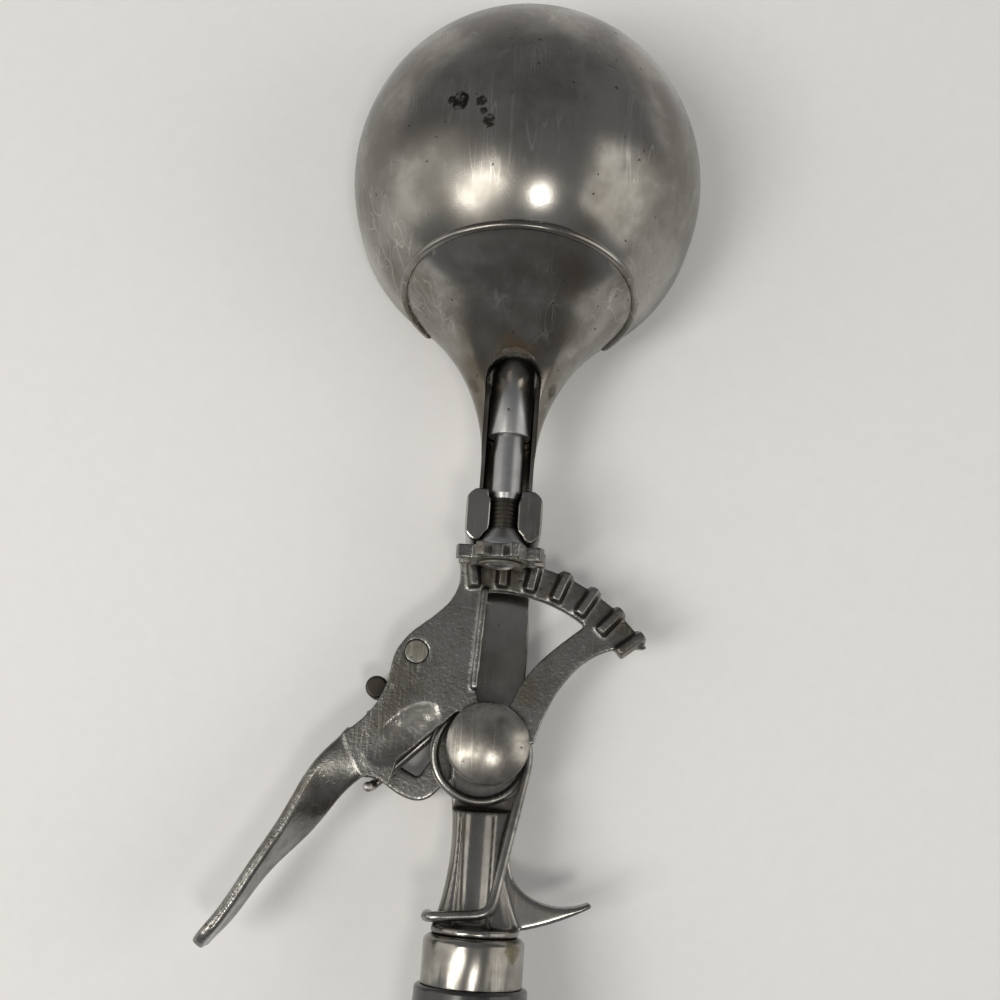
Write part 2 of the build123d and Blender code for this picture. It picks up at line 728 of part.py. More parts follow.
with BuildPart() as bowl_collar:
    with BuildSketch(shaft_plane):
        with BuildLine():
            cup = ThreePointArc((cup_radius, bowl_y), cup_middle, cup_meet)
            blend = ThreePointArc(cup @ 1, blend_middle, (neck_radius, blend_y))
            Polyline(blend @ 1, (neck_radius, neck_y), (0, neck_y), (0, bowl_y), cup @ 0)
        make_face()
    revolve(axis=shaft_axis)
    with BuildSketch(Plane.XY.offset(rim_z - cup_radius)):
        with Locations((0, bowl_y)):
            Rectangle(4 * bowl_radius, 4 * bowl_radius)
    extrude(amount=cup_radius + bowl_skirt - collar_drop, mode=Mode.SUBTRACT)
    with BuildSketch(Plane(ring_center, x_dir=(1, 0, 0), z_dir=ring_normal)):
        Circle(2 * bowl_radius)
    extrude(amount=-3 * bowl_radius, mode=Mode.SUBTRACT)
    with BuildSketch(Plane(ring_center, x_dir=(1, 0, 0), z_dir=ring_across)):
        with Locations((ring_radius, 0)):
            Circle(bead_radius)
    revolve(axis=Axis(ring_center, ring_normal))
    with Locations((0, bowl_y, shaft_rise)):
        Sphere(bowl_radius + solder_gap, mode=Mode.SUBTRACT)
    with BuildSketch(Plane.XY.offset(rim_z - bowl_radius)):
        with Locations((0, bowl_y)):
            Circle(bowl_radius + solder_gap)
    extrude(amount=bowl_radius + bowl_skirt, mode=Mode.SUBTRACT)
    with BuildSketch(Plane.XY.offset(rim_z - cup_radius)):
        with Locations((0, bowl_y)):
            Rectangle(4 * bowl_radius, 4 * bowl_radius)
    extrude(amount=cup_radius + bowl_skirt - collar_drop, mode=Mode.SUBTRACT)
    with BuildSketch(station(neck_y - 1, shaft_rise)):
        Circle(trough_radius)
    extrude(amount=-bowl_reach, mode=Mode.SUBTRACT)
    with BuildSketch(station(pivot_y + mouth_start, shaft_rise)):
        Circle(mouth_bore_radius)
    extrude(amount=-bowl_reach, mode=Mode.SUBTRACT)
    with BuildSketch(shaft_plane):
        with BuildLine():
            Polyline(
                (-mouth_half_width, pivot_y + mouth_end - mouth_half_width),
                (-mouth_half_width, neck_y - 1),
                (mouth_half_width, neck_y - 1),
                (mouth_half_width, pivot_y + mouth_end - mouth_half_width),
            )
            ThreePointArc(
                (mouth_half_width, pivot_y + mouth_end - mouth_half_width),
                (0, pivot_y + mouth_end),
                (-mouth_half_width, pivot_y + mouth_end - mouth_half_width),
            )
        make_face()
    extrude(amount=bowl_radius, mode=Mode.SUBTRACT)
keep(bowl_collar, "bowl_collar")

# Torsion spring: the catch leg under the lever, the coil round the boss, the long leg hooked over the shank
coil_low = web_top + pass_clear + wire_radius
coil_pitch = 2 * wire_radius + coil_gap
coil_x = coil_shift_x
coil_y = pivot_y + coil_shift_y


def tangent_angle(x, y):
    # Angle on the coil where a straight leg from a point meets it, the wire turning clockwise from above
    away = hypot(x - coil_x, y - coil_y)
    return degrees(atan2(y - coil_y, x - coil_x)), degrees(asin(coil_radius / away))


def coil_point(angle, height):
    return Vector(
        coil_x + coil_radius * cos(radians(angle)), coil_y + coil_radius * sin(radians(angle)), height
    )


def coil_way(angle, climb=0.0):
    return Vector(sin(radians(angle)), -cos(radians(angle)), climb).normalized()


def biarc(start, start_way, end, end_way):
    # Two arcs that leave one point and reach the next along the given directions
    reach = end - start
    bend = max(start_way.cross(reach).length, end_way.cross(reach).length)
    if bend < 1e-6 * reach.length:
        Line(start, end)
        return
    along = reach.dot(start_way + end_way)
    spread = 2 * (1 - start_way.dot(end_way))
    if spread < 1e-9:
        step = reach.dot(reach) / (4 * reach.dot(end_way))
    else:
        step = (sqrt(along**2 + spread * reach.dot(reach)) - along) / spread
    joint = (start + end + (start_way - end_way) * step) * 0.5
    joint_way = ((end - end_way * step) - (start + start_way * step)).normalized()
    TangentArc(start, joint, tangent=start_way)
    TangentArc(joint, end, tangent=joint_way)


catch_bearing, catch_lean = tangent_angle(catch_x, pivot_y + catch_y)
catch_angle = catch_bearing - (90 - catch_lean)
leg_bearing, leg_lean = tangent_angle(leg_bend_x, pivot_y + leg_bend_y)
leg_angle = leg_bearing + (90 - leg_lean)
coil_sweep = (catch_angle - leg_angle) % 360 + 360 * coil_full_turns
coil_climb = coil_pitch / (2 * pi * coil_radius)
coil_high = coil_low + coil_pitch * coil_sweep / 360
down = Vector(0, 0, -1)
catch_way = coil_way(catch_angle, coil_climb)
coil_start = coil_point(catch_angle, coil_low)
catch_corner = coil_start + catch_way * ((catch_x - coil_start.X) / catch_way.X)
catch_top = Vector(catch_corner.X, catch_corner.Y, catch_height)
catch_foot = catch_corner - down * catch_bend
catch_run = catch_corner + catch_way * catch_bend
coil_end = coil_point(leg_angle, coil_high)
leg_corner = Vector(leg_bend_x, pivot_y + leg_bend_y, leg_height)
leg_run = hypot(leg_corner.X - coil_end.X, leg_corner.Y - coil_end.Y)
leg_slope = (leg_height - coil_high - leg_lift * coil_climb / 2) / (leg_run - leg_lift / 2)
lift_rise = leg_lift * (coil_climb + leg_slope) / 2
leg_lifted = coil_end + coil_way(leg_angle) * leg_lift + Vector(0, 0, lift_rise)
leg_way = coil_way(leg_angle, leg_slope)
hook_way = Vector(-1, -0.10, 0).normalized()
leg_stop = leg_corner - leg_way * leg_bend
leg_turn = leg_corner + hook_way * leg_bend
curl_corner = leg_corner + hook_way * ((leg_bend_x - curl_x) / -hook_way.X)
curl_start = curl_corner - hook_way * curl_bend
curl_end = curl_corner + down * curl_bend
wire_stations = [(catch_top, down), (catch_foot, down), (catch_run, catch_way)]
quarter_turns = round(coil_sweep / 90)
for quarter in range(quarter_turns + 1):
    turned = coil_sweep * quarter / quarter_turns
    spot = coil_point(catch_angle - turned, coil_low + coil_pitch * turned / 360)
    wire_stations.append((spot, coil_way(catch_angle - turned, coil_climb)))
wire_stations += [
    (leg_lifted, leg_way),
    (leg_stop, leg_way),
    (leg_turn, hook_way),
    (curl_start, hook_way),
    (curl_end, down),
    (curl_corner + down * (curl_bend + curl_drop), down),
]
with BuildPart() as torsion_spring:
    with BuildLine() as wire_path:
        for (start, start_way), (end, end_way) in zip(wire_stations, wire_stations[1:]):
            biarc(start, start_way, end, end_way)
    wire = wire_path.wires()[0]
    with BuildSketch(Plane(wire @ 0, z_dir=wire % 0)):
        Circle(wire_radius)
    sweep(path=wire)
keep(torsion_spring, "torsion_spring")

# Least gap of the wire to itself, measured on points along its middle line
wire_points = [wire @ (count / 700) for count in range(701)]
wire_step = wire.length / 700
skip = int(3 * pi * wire_radius / wire_step) + 1
least_gap = min(
    (wire_points[late] - wire_points[early]).length - 2 * wire_radius
    for early in range(701)
    for late in range(early + skip, 701)
)
wire_volume = pi * wire_radius**2 * wire.length
print(f"torsion_spring: wire {wire.length:.1f} mm, {coil_sweep / 360:.2f} turns, least gap {least_gap:.2f} mm")
print(f"wire volume {torsion_spring.part.volume:.1f}, section times length {wire_volume:.1f}")
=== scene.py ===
from math import radians

import bpy
import numpy as np
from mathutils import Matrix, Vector


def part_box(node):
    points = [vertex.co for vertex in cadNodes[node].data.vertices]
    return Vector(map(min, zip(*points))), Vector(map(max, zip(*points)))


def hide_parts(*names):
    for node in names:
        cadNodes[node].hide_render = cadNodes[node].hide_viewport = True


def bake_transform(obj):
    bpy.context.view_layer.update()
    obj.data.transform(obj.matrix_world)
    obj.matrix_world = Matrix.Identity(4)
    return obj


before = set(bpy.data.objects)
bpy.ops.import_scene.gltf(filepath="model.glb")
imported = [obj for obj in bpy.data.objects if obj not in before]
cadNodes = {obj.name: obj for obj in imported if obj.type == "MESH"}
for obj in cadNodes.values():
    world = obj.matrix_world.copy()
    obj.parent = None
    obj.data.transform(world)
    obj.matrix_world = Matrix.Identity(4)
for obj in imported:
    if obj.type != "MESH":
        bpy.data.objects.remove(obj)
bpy.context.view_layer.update()        # imported scoop pieces, unparented in place
mm = 0.001
print("frame loaded:", len(cadNodes), "pieces")


# Node helpers, each returns the socket or node that the next step reads

def addNode(tree, kind, sockets=None, **settings):
    made = tree.nodes.new(kind)
    for key, value in settings.items():
        setattr(made, key, value)
    for key, value in (sockets or {}).items():
        if isinstance(value, bpy.types.NodeSocket):
            tree.links.new(value, made.inputs[key])
        else:
            made.inputs[key].default_value = value
    return made


def mathStep(tree, operation, first, second=0.0, clamp=False):
    step = addNode(tree, "ShaderNodeMath", {0: first, 1: second}, operation=operation)
    step.use_clamp = clamp
    return step.outputs[0]


def mixTones(tree, factor, first, second):
    step = addNode(tree, "ShaderNodeMix", data_type="RGBA")
    for socket, value in ((step.inputs[0], factor), (step.inputs[6], first), (step.inputs[7], second)):
        if isinstance(value, bpy.types.NodeSocket):
            tree.links.new(value, socket)
        else:
            socket.default_value = value if np.isscalar(value) else (*value[:3], 1.0)
    return step.outputs[2]


def spread(tree, value, low, high, outLow=0.0, outHigh=1.0):
    step = addNode(tree, "ShaderNodeMapRange", {0: value, 1: low, 2: high, 3: outLow, 4: outHigh})
    step.interpolation_type = "SMOOTHSTEP"
    return step.outputs[0]


def noiseField(tree, place, scale, detail, rough=0.55, stretch=None, turn=(0, 0, 0)):
    if stretch is not None:
        move = addNode(tree, "ShaderNodeMapping", {"Vector": place})
        move.inputs["Rotation"].default_value = [radians(angle) for angle in turn]
        move.inputs["Scale"].default_value = stretch
        place = move.outputs[0]
    sockets = {"Vector": place, "Scale": scale, "Detail": detail, "Roughness": rough}
    return addNode(tree, "ShaderNodeTexNoise", sockets).outputs["Fac"]


def nearSpot(tree, place, spot, reach, soft):
    # 1 inside reach of a point on the object (mm), fading to 0 over soft
    away = addNode(tree, "ShaderNodeVectorMath", {0: place}, operation="DISTANCE")
    away.inputs[1].default_value = [value * mm for value in spot]
    return spread(tree, away.outputs["Value"], reach * mm, (reach + soft) * mm, 1.0, 0.0)


def startMaterial(name):
    made = bpy.data.materials.new(name)
    made.use_nodes = True
    tree = made.node_tree
    shader = tree.nodes["Principled BSDF"]
    place = addNode(tree, "ShaderNodeTexCoord").outputs["Object"]
    return made, tree, shader, place


# Worn plated metal: blotchy tone, hairline scratches, pitted grain, and painted shade with grime darkening
# the recesses

def scratchLines(tree, place, scale, turn, width):
    # Contour lines of a long drawn-out noise are thin, wandering scratches
    field = noiseField(tree, place, scale, 1.0, 0.4, (1.0, 0.06, 0.4), turn)
    off = mathStep(tree, "ABSOLUTE", mathStep(tree, "SUBTRACT", field, 0.5))
    return spread(tree, off, 0.0, width, 1.0, 0.0)


def wornMetal(name, look, spots=()):
    made, tree, shader, place = startMaterial(name)
    shader.inputs["Metallic"].default_value = 1.0
    blotch = noiseField(tree, place, look["blotch"], 4.0, 0.62)
    tone = mixTones(tree, spread(tree, blotch, *look["blotchEdge"]), look["dull"], look["bright"])
    stainField = noiseField(tree, place, look["stainScale"], 3.0, 0.6)
    stain = spread(tree, stainField, *look["stainEdge"], 0.0, look["stainShare"])
    tone = mixTones(tree, stain, tone, look["stain"])
    fine = noiseField(tree, place, look["grain"], 2.0, 0.6)
    streak = noiseField(tree, place, look["brushScale"], 2.0, 0.6, look["brush"])
    scratches = scratchLines(tree, place, look["scratchScale"], (0, 0, 35), look["scratchWidth"])
    for turn in ((20, 0, -50), (0, 60, 80)):
        finer = look["scratchScale"] * look["finerScratch"]
        more = scratchLines(tree, place, finer, turn, look["scratchWidth"])
        scratches = mathStep(tree, "MAXIMUM", scratches, more)
    scratchMask = spread(tree, noiseField(tree, place, look["scratchPatch"], 2.0), *look["scratchEdge"])
    scratches = mathStep(tree, "MULTIPLY", scratches, scratchMask)
    scratchTone = mathStep(tree, "MULTIPLY", scratches, look["scratchShare"])
    tone = mixTones(tree, scratchTone, tone, look["scratchTone"])
    pitField = noiseField(tree, place, look["pitScale"], 1.0, 0.5)
    pits = spread(tree, pitField, look["pitCut"], look["pitCut"] + look["pitSoft"])
    grimeAndShade = mathStep(tree, "MULTIPLY", pits, look["pitShare"])
    tone = mixTones(tree, grimeAndShade, tone, look["grimeAndShade"])
    # Painted shade: where ambient occlusion finds a recess, the tone is darkened toward the dark grime tone,
    # broken up in patches
    if look["shadeGrimeShare"] > 0:
        reach = {"Distance": look["shadeGrimeReach"] * mm}
        cover = addNode(tree, "ShaderNodeAmbientOcclusion", reach, samples=4)
        hidden = spread(tree, cover.outputs["AO"], *look["shadeGrimeEdge"], 1.0, 0.0)
        shadeGrimeBreak = spread(tree, noiseField(tree, place, look["shadeGrimePatch"], 4.0), *look["shadeGrimeBreak"])
        recessShadeGrime = mathStep(tree, "MULTIPLY", hidden, shadeGrimeBreak)
        recessShadeGrime = mathStep(tree, "MULTIPLY", recessShadeGrime, look["shadeGrimeShare"])
        tone = mixTones(tree, recessShadeGrime, tone, look["grimeAndShade"])
        grimeAndShade = mathStep(tree, "MAXIMUM", grimeAndShade, recessShadeGrime)
    # Each spot lays its tone over the metal near one point: real pits and stains, and in some lists painted
    # shade and a painted glint
    for spot in spots:
        edge = mathStep(tree, "MULTIPLY", noiseField(tree, place, spot["broken"], 3.0), 2.0)
        near = nearSpot(tree, place, spot["at"], spot["reach"], spot["soft"])
        share = mathStep(tree, "MULTIPLY", near, edge)
        share = spread(tree, share, *look["spotEdge"], 0.0, spot["share"])
        tone = mixTones(tree, share, tone, spot["tone"])
        grimeAndShade = mathStep(tree, "MAXIMUM", grimeAndShade, share)
    tree.links.new(tone, shader.inputs["Base Color"])
    dullRough, brightRough = [look["rough"] + change for change in look["roughSpread"]]
    rough = spread(tree, blotch, *look["roughEdge"], dullRough, brightRough)
    rough = mathStep(tree, "ADD", rough, mathStep(tree, "MULTIPLY", streak, look["brushShare"]))
    grimeAndShadeRough = mathStep(tree, "MULTIPLY", grimeAndShade, look["grimeAndShadeRough"])
    rough = mathStep(tree, "ADD", rough, grimeAndShadeRough, clamp=True)
    tree.links.new(rough, shader.inputs["Roughness"])
    height = mathStep(tree, "MULTIPLY", fine, look["grainShare"])
    brushed = mathStep(tree, "MULTIPLY", streak, look["brushShare"] * look["brushDepth"])
    height = mathStep(tree, "ADD", height, brushed)
    height = mathStep(tree, "SUBTRACT", height, mathStep(tree, "MULTIPLY", pits, look["pitDepth"]))
    relief = {"Height": height, "Strength": look["bump"], "Distance": look["relief"] * mm}
    bump = addNode(tree, "ShaderNodeBump", relief)
    tree.links.new(bump.outputs[0], shader.inputs["Normal"])
    return made


# The dark grime tone colours the pits and is also the painted shade laid into the recesses
plateLook = {
    "bright": (0.33, 0.318, 0.297), "dull": (0.175, 0.166, 0.15), "scratchTone": (0.55, 0.54, 0.51),
    "stain": (0.12, 0.10, 0.07), "stainScale": 30.0, "stainShare": 0.6,
    "grimeAndShade": (0.030, 0.025, 0.020), "blotch": 55.0, "grain": 2600.0, "brush": (1.0, 0.05, 1.0),
    "scratchScale": 260.0, "scratchWidth": 0.012, "pitScale": 900.0, "pitCut": 0.745,
    "shadeGrimeReach": 2.2, "shadeGrimeShare": 0.9, "rough": 0.24, "brushShare": 0.05, "grainShare": 0.12, "bump": 0.35,
    "blotchEdge": (0.34, 0.68), "stainEdge": (0.50, 0.70), "scratchEdge": (0.48, 0.66),
    "spotEdge": (0.55, 1.05), "shadeGrimeEdge": (0.30, 0.92), "shadeGrimeBreak": (0.30, 0.62, 0.55, 1.0),
    "roughEdge": (0.30, 0.72), "roughSpread": (0.10, -0.04), "grimeAndShadeRough": 0.30,
    "brushScale": 900.0, "brushDepth": 0.25, "scratchPatch": 70.0, "scratchShare": 0.45, "finerScratch": 1.3,
    "shadeGrimePatch": 420.0, "pitShare": 0.75, "pitSoft": 0.05, "pitDepth": 0.6, "relief": 0.05,
}
pitTone = (0.012, 0.012, 0.011)
# Painted shade tone for the hollow in the lever plate
hollowShadeTone = (0.10, 0.098, 0.094)


def markSpot(at, tone, reach, soft, broken, share):
    # A ragged mark round a point of the object, in mm; broken is how finely its edge is torn
    return {"at": at, "tone": tone, "reach": reach, "soft": soft, "broken": broken, "share": share}


bowlSpots = [
    markSpot((-13.0, 251.8, 44.9), pitTone, reach=1.3, soft=1.5, broken=900.0, share=0.97),
    markSpot((-14.6, 252.3, 44.2), pitTone, reach=0.5, soft=0.9, broken=1100.0, share=0.95),
    markSpot((-9.2, 251.4, 46.3), pitTone, reach=0.7, soft=1.0, broken=1100.0, share=0.9),
    markSpot((-8.6, 249.6, 46.4), pitTone, reach=0.5, soft=0.8, broken=1100.0, share=0.9),
    markSpot((-7.6, 247.6, 46.5), pitTone, reach=0.9, soft=1.2, broken=1100.0, share=0.95),
]
mouthSpots = [
    markSpot((0.0, 214.5, 23.5), (0.10, 0.065, 0.035), reach=2.0, soft=5.0, broken=300.0, share=0.8),
    markSpot((-5.5, 209.0, 15.5), (0.07, 0.045, 0.03), reach=1.5, soft=4.0, broken=300.0, share=0.7),
    markSpot((5.5, 209.0, 15.5), (0.05, 0.035, 0.025), reach=1.5, soft=4.0, broken=300.0, share=0.8),
]
# Bare metal at the spring's cut end, painted up to a near-white glint
wireCutEndGlint = [
    markSpot((-22.8, 130.1, 2.7), (0.95, 0.92, 0.87), reach=1.1, soft=0.4, broken=200.0, share=1.0),
]
ferruleSpots = [
    markSpot((7.5, 101.0, 6.0), (0.12, 0.10, 0.045), reach=1.0, soft=3.5, broken=500.0, share=0.7),
]
# Painted shade darkening the hollow along the lever plate
leverHollowShade = [
    markSpot((-18.5, 138.6, 3.0), hollowShadeTone, reach=3.0, soft=3.5, broken=350.0, share=0.7),
    markSpot((-13.8, 143.2, 3.0), hollowShadeTone, reach=3.0, soft=3.0, broken=350.0, share=0.7),
]
# Castings take the painted recess shade wider and at full strength, darkening the valleys between their teeth
castLook = {
    **plateLook, "bright": (0.29, 0.286, 0.272), "dull": (0.135, 0.132, 0.122), "rough": 0.26,
    "blotch": 130.0, "shadeGrimeReach": 3.2, "shadeGrimeShare": 1.0, "grain": 1500.0, "grainShare": 1.5, "bump": 1.0,
    "pitCut": 0.74, "scratchWidth": 0.008, "stainScale": 90.0, "brushShare": 0.02,
}
bowlMetal = wornMetal("bowlNickel", {
    **plateLook, "rough": 0.20, "shadeGrimeShare": 0, "grainShare": 0.35,
}, bowlSpots)
collarMetal = wornMetal("collarNickel", {
    **plateLook, "rough": 0.15, "stainShare": 0.75, "blotch": 90.0, "grainShare": 0.35, "shadeGrimeReach": 1.2,
    "shadeGrimeShare": 0.3,
}, mouthSpots)
frameMetal = wornMetal("frameNickel", {**plateLook, "rough": 0.17, "grainShare": 0.2, "shadeGrimeReach": 3.0})
leverMetal = wornMetal("leverNickel", castLook, leverHollowShade)
toothMetal = wornMetal("toothNickel", {
    **castLook, "stain": (0.11, 0.088, 0.055), "stainShare": 0.85, "shadeGrimeReach": 3.0,
})
capMetal = wornMetal("capNickel", {
    **plateLook, "bright": (0.42, 0.40, 0.36), "rough": 0.27, "blotch": 160.0,
})
ferruleMetal = wornMetal("ferruleNickel", {
    **plateLook, "bright": (0.40, 0.385, 0.355), "rough": 0.15,
}, ferruleSpots)
shaftMetal = wornMetal("shaftSteel", {
    **plateLook, "bright": (0.44, 0.445, 0.45), "dull": (0.28, 0.28, 0.285), "rough": 0.25,
    "brush": (0.4, 3.0, 0.4), "brushShare": 0.16, "stainShare": 0.3, "shadeGrimeShare": 0.2,
})
pinMetal = wornMetal("pinSteel", {
    **plateLook, "bright": (0.32, 0.31, 0.27), "dull": (0.19, 0.18, 0.15), "rough": 0.36, "blotch": 300.0,
})
wireMetal = wornMetal("springWire", {
    **plateLook, "bright": (0.33, 0.32, 0.30), "dull": (0.15, 0.147, 0.14), "rough": 0.24, "blotch": 200.0,
}, wireCutEndGlint)
darkMetal = wornMetal("darkSteel", {
    **plateLook, "bright": (0.07, 0.065, 0.055), "dull": (0.025, 0.022, 0.02), "rough": 0.45,
    "grainShare": 0.6, "scratchTone": (0.22, 0.20, 0.17), "stain": (0.09, 0.06, 0.03),
})


# Black lacquer over turned wood, rubbed thin along the grain

gripLook = {
    "black": (0.012, 0.012, 0.012), "worn": (0.045, 0.035, 0.028), "rough": 0.26, "roughSpread": 0.16,
    "coat": 0.4, "coatRough": 0.12, "bump": 0.25, "relief": 0.04, "rubScale": 45.0, "fibreScale": 700.0,
}


def blackLacquer(name, look):
    made, tree, shader, place = startMaterial(name)
    shader.inputs["Coat Weight"].default_value = look["coat"]
    shader.inputs["Coat Roughness"].default_value = look["coatRough"]
    rubbed = noiseField(tree, place, look["rubScale"], 5.0, 0.6)
    fibre = noiseField(tree, place, look["fibreScale"], 4.0, 0.6, (1.0, 0.04, 1.0))
    share = mathStep(tree, "MULTIPLY", spread(tree, rubbed, 0.50, 0.72), spread(tree, fibre, 0.35, 0.65))
    tree.links.new(mixTones(tree, share, look["black"], look["worn"]), shader.inputs["Base Color"])
    rough = spread(tree, rubbed, 0.3, 0.7, look["rough"], look["rough"] + look["roughSpread"])
    tree.links.new(rough, shader.inputs["Roughness"])
    relief = {"Height": fibre, "Strength": look["bump"], "Distance": look["relief"] * mm}
    bump = addNode(tree, "ShaderNodeBump", relief)
    tree.links.new(bump.outputs[0], shader.inputs["Normal"])
    return made


gripBlack = blackLacquer("blackLacquer", gripLook)

finishes = {
    "bowl": bowlMetal, "scraper_blade": bowlMetal, "bowl_collar": collarMetal, "frame": frameMetal,
    "rack_lever": leverMetal, "lower_cheek": leverMetal, "pinion": toothMetal, "pivot_cap": capMetal,
    "ferrule": ferruleMetal, "scraper_shaft": shaftMetal, "shaft_sleeve": shaftMetal,
    "thrust_collar": shaftMetal, "pivot_post": pinMetal, "pivot_washer": pinMetal, "tip_pin": pinMetal,
    "cheek_rivet": pinMetal, "pinion_washer": pinMetal, "torsion_spring": wireMetal,
    "lever_stud": darkMetal, "grooved_bush": darkMetal, "grip": gripBlack,
}
for nodeName, finish in finishes.items():
    mesh = cadNodes[nodeName].data
    mesh.materials.clear()
    mesh.materials.append(finish)
print("finishes set on", len(finishes), "pieces")


# Turned and pressed pieces: coincident points are joined, then sharp edges get a small round of this width

edgeWidths = {
    "cheek_rivet": 0.2, "pivot_cap": 0.35, "bowl_collar": 0.12, "shaft_sleeve": 0.25, "pinion_washer": 0.12,
    "thrust_collar": 0.15, "ferrule": 0.12,
}
edgeLook = {"join": 0.002, "flatWithin": 0.3, "sharpFrom": 38, "steps": 3}        # mm, then degrees


def joinPoints(piece):
    join = piece.modifiers.new("join", "WELD")
    join.merge_threshold = edgeLook["join"] * mm


def softenEdges(piece, width):
    joinPoints(piece)
    flat = piece.modifiers.new("flat", "DECIMATE")
    flat.decimate_type = "DISSOLVE"
    flat.angle_limit = radians(edgeLook["flatWithin"])
    edge = piece.modifiers.new("edge", "BEVEL")
    edge.width = width * mm
    edge.segments = edgeLook["steps"]
    edge.limit_method = "ANGLE"
    edge.angle_limit = radians(edgeLook["sharpFrom"])
    edge.use_clamp_overlap = True
    edge.harden_normals = True


for nodeName, width in edgeWidths.items():
    softenEdges(cadNodes[nodeName], width)
print("edges softened on", len(edgeWidths), "pieces")


# Castings have no crisp edge: the skin is laid again in small even cells, then relaxed into round corners

castSkin = {        # cell in mm
    "frame": {"cell": 0.36, "passes": 9}, "rack_lever": {"cell": 0.30, "passes": 7},
    "lower_cheek": {"cell": 0.30, "passes": 6}, "pinion": {"cell": 0.20, "passes": 6},
}


def roundCasting(piece, look):
    joinPoints(piece)
    skin = piece.modifiers.new("skin", "REMESH")
    skin.mode = "VOXEL"
    skin.voxel_size = look["cell"] * mm
    skin.use_smooth_shade = True
    relax = piece.modifiers.new("relax", "SMOOTH")
    relax.factor = 0.5        # halfway to the neighbours on each pass
    relax.iterations = look["passes"]


for nodeName, look in castSkin.items():
    roundCasting(cadNodes[nodeName], look)
print("castings rounded:", len(castSkin), "pieces")


# Torsion spring: catch leg, open coil, long leg and the hook over the shank, one round wire

springLook = {        # mm
    "wire": 1.0, "middle": (-1.2, 138.1), "radius": 9.3, "low": -3.7, "pitch": 2.45, "fullTurns": 1,
    "catch": (-22.8, 130.1), "catchTop": 2.6, "corner": (2.75, 107.4, 5.0),
    "hookEnd": (-9.6, 106.2), "hookDrop": 8.0, "ease": 2.4, "step": 0.4, "sides": 20, "coilPoints": 400,
}


def springPath(look):
    # A leg meets the coil where the line from its far point is tangent to the circle; the coil climbs
    # evenly, and a running average of the whole line rounds its corners
    middle = np.array(look["middle"])

    def touchAngle(point, side):
        away = np.array(point[:2]) - middle
        lean = np.arcsin(look["radius"] / np.hypot(*away))
        return np.arctan2(away[1], away[0]) + side * (np.pi / 2 - lean)

    catchAngle = touchAngle(look["catch"], -1)
    cornerAngle = touchAngle(look["corner"], 1)
    sweep = (catchAngle - cornerAngle) % (2 * np.pi) + 2 * np.pi * look["fullTurns"]
    turned = np.linspace(0, sweep, look["coilPoints"])
    shrink = np.sin(look["ease"] / look["radius"]) / (look["ease"] / look["radius"])
    ring = look["radius"] / shrink**2
    coil = np.stack([
        middle[0] + ring * np.cos(catchAngle - turned),
        middle[1] + ring * np.sin(catchAngle - turned),
        look["low"] + look["pitch"] * turned / (2 * np.pi),
    ], -1)
    legRun = np.hypot(*(np.array(look["catch"]) - coil[0, :2]))
    legFall = legRun * look["pitch"] / (2 * np.pi * look["radius"])
    catchLow = (*look["catch"], look["low"] - legFall)
    catchHigh = (*look["catch"], look["catchTop"])
    hookHigh = (*look["hookEnd"], look["corner"][2])
    hookLow = (*look["hookEnd"], look["corner"][2] - look["hookDrop"])
    line = np.vstack([catchHigh, catchLow, coil, look["corner"], hookHigh, hookLow])
    along = np.concatenate([[0], np.cumsum(np.linalg.norm(np.diff(line, axis=0), axis=1))])
    spots = np.linspace(0, along[-1], int(along[-1] / look["step"]))
    line = np.stack([np.interp(spots, along, line[:, axis]) for axis in range(3)], -1)
    reach = int(look["ease"] / look["step"])
    window = np.ones(2 * reach + 1) / (2 * reach + 1)
    for sweepCount in range(2):
        wide = np.pad(line, ((reach, reach), (0, 0)), mode="reflect", reflect_type="odd")
        line = np.stack([np.convolve(wide[:, axis], window, "valid") for axis in range(3)], -1)
    return line


def tubeAlong(name, path, radius, sides):
    # A circle carried along the path: one axis of each ring is level, the other completes it;
    # both ends are closed and drawn in a little, as a cut wire's are
    way = np.gradient(path, axis=0)
    way /= np.linalg.norm(way, axis=1, keepdims=True)
    level = np.hypot(way[:, 0], way[:, 1])
    steep = 0.25              # below this much level run, a ring borrows its neighbours' heading
    flat = np.flatnonzero(level > steep)
    heading = np.interp(np.arange(len(path)), flat, np.unwrap(np.arctan2(way[flat, 1], way[flat, 0])))
    across = np.stack([-np.sin(heading), np.cos(heading), np.zeros(len(path))], -1)
    upward = np.cross(way, across)
    size = np.full(len(path), radius)
    endShare = 0.82
    size[[0, -1]] *= endShare
    turn = np.linspace(0, 2 * np.pi, sides, endpoint=False)
    ring = np.cos(turn)[None, :, None] * across[:, None] + np.sin(turn)[None, :, None] * upward[:, None]
    points = path[:, None] + size[:, None, None] * ring
    points = np.vstack([points.reshape(-1, 3), path[:1], path[-1:]]) * mm
    index = np.arange(len(path) * sides).reshape(len(path), sides)
    after = np.roll(index, -1, axis=1)
    quads = np.stack([index[:-1], after[:-1], after[1:], index[1:]], -1).reshape(-1, 4)
    first = np.full(sides, len(path) * sides)
    starts = np.stack([after[0], index[0], first], -1)
    ends = np.stack([index[-1], after[-1], first + 1], -1)
    mesh = bpy.data.meshes.new(name)
    mesh.from_pydata(points.tolist(), [], quads.tolist() + starts.tolist() + ends.tolist())
    mesh.shade_smooth()
    piece = bpy.data.objects.new(name, mesh)
    bpy.context.scene.collection.objects.link(piece)
    return piece


spring = tubeAlong("springCoil", springPath(springLook), springLook["wire"], springLook["sides"])
spring.data.materials.append(wireMetal)
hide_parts("torsion_spring")
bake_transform(spring)
print("spring wound:", len(spring.data.vertices), "points")


# Floor: the plane that the scoop lies on, rising from the lever plate to the bowl's lip

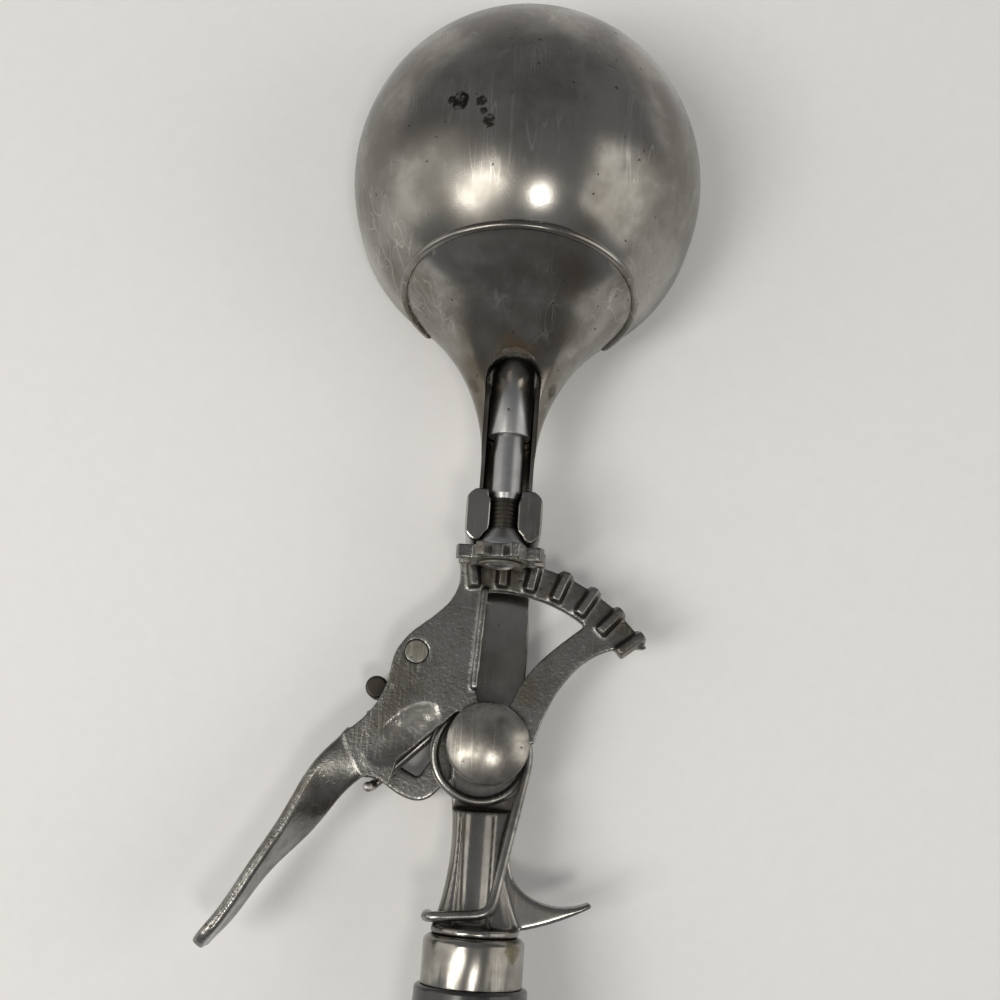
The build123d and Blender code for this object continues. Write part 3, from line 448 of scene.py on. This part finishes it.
floorLook = {        # reach in metres, gap in mm
    "rise": 0.1425, "reach": 2.5, "rows": 9, "gap": 0.05, "tone": (0.87, 0.87, 0.865), "speckTone": 0.985,
    "speckScale": 300.0, "rough": 0.7,
}


def addFloor(look):
    # Lowest point of every piece measured square to the slope sets the floor's height
    heights = []
    for piece in cadNodes.values():
        points = np.empty(len(piece.data.vertices) * 3, np.float32)
        piece.data.vertices.foreach_get("co", points)
        points = points.reshape(-1, 3)
        heights.append((points[:, 2] - look["rise"] * points[:, 1]).min())
    base = min(heights) - look["gap"] * mm
    side = np.linspace(-look["reach"], look["reach"], look["rows"])
    across, along = np.meshgrid(side, side)
    points = np.stack([across, along, base + look["rise"] * along], -1)
    index = np.arange(look["rows"] ** 2).reshape(look["rows"], look["rows"])
    faces = np.stack([index[:-1, :-1], index[:-1, 1:], index[1:, 1:], index[1:, :-1]], -1).reshape(-1, 4)
    mesh = bpy.data.meshes.new("floor")
    mesh.from_pydata(points.reshape(-1, 3).tolist(), [], faces.tolist())
    floor = bpy.data.objects.new("floor", mesh)
    bpy.context.scene.collection.objects.link(floor)
    made, tree, shader, place = startMaterial("paleFloor")
    speck = noiseField(tree, place, look["speckScale"], 3.0)
    darker = [value * look["speckTone"] for value in look["tone"]]
    tone = mixTones(tree, spread(tree, speck, 0.3, 0.7), look["tone"], darker)
    tree.links.new(tone, shader.inputs["Base Color"])
    shader.inputs["Roughness"].default_value = look["rough"]
    mesh.materials.append(made)


addFloor(floorLook)


# Studio light: a window on the left, a lamp overhead and two faint side walls, in an even grey room

lampLook = [        # metres from the bowl's middle, and watts
    {"name": "window", "toward": (-0.50, -0.38, 0.78), "away": 0.80, "size": (0.23, 0.44), "power": 2.5},
    {
        "name": "ceilingLamp", "toward": (0.146, -0.456, 0.878), "away": 0.90, "size": (0.14, 0.14),
        "power": 1.1,
    },
    {"name": "rightWall", "toward": (0.90, -0.15, 0.42), "away": 0.90, "size": (0.70, 0.80), "power": 2.2},
    {"name": "leftWall", "toward": (-0.92, -0.10, 0.38), "away": 0.90, "size": (0.60, 0.85), "power": 1.5},
]
lampTone = (1.0, 0.96, 0.885)


def addLamps(looks, aim):
    for look in looks:
        lamp = bpy.data.lights.new(look["name"], "AREA")
        lamp.shape = "RECTANGLE"
        lamp.size, lamp.size_y = look["size"]
        lamp.energy = look["power"]
        lamp.color = lampTone
        holder = bpy.data.objects.new(look["name"], lamp)
        toward = Vector(look["toward"]).normalized()
        holder.location = aim + toward * look["away"]
        holder.rotation_euler = (-toward).to_track_quat("-Z", "Y").to_euler()
        bpy.context.scene.collection.objects.link(holder)


bowlLow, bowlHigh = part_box("bowl")
addLamps(lampLook, (bowlLow + bowlHigh) / 2)

roomLook = {"tone": (0.62, 0.63, 0.65, 1.0), "strength": 0.38}
world = bpy.data.worlds.new("studio")
world.use_nodes = True
room = world.node_tree.nodes["Background"]
room.inputs["Color"].default_value = roomLook["tone"]
room.inputs["Strength"].default_value = roomLook["strength"]
bpy.context.scene.world = world


# Camera, found from the bowl's outline, the pivot and the shaft's line in the picture

# Place in mm, turn in degrees
cameraLook = {"place": (0.372, 127.183, 279.051), "turn": (8.531, -0.607, 4.010), "lens": 50.4, "rise": 0.10}


def addCamera(look):
    lens = bpy.data.cameras.new("camera")
    lens.sensor_width = 36.0
    lens.lens = look["lens"]
    lens.shift_y = look["rise"]
    lens.clip_start = 0.01
    camera = bpy.data.objects.new("camera", lens)
    camera.location = [value * mm for value in look["place"]]
    camera.rotation_euler = [radians(angle) for angle in look["turn"]]
    bpy.context.scene.collection.objects.link(camera)
    bpy.context.scene.camera = camera


addCamera(cameraLook)
bpy.context.scene.view_settings.view_transform = "Standard"
print("floor, lamps and camera set")
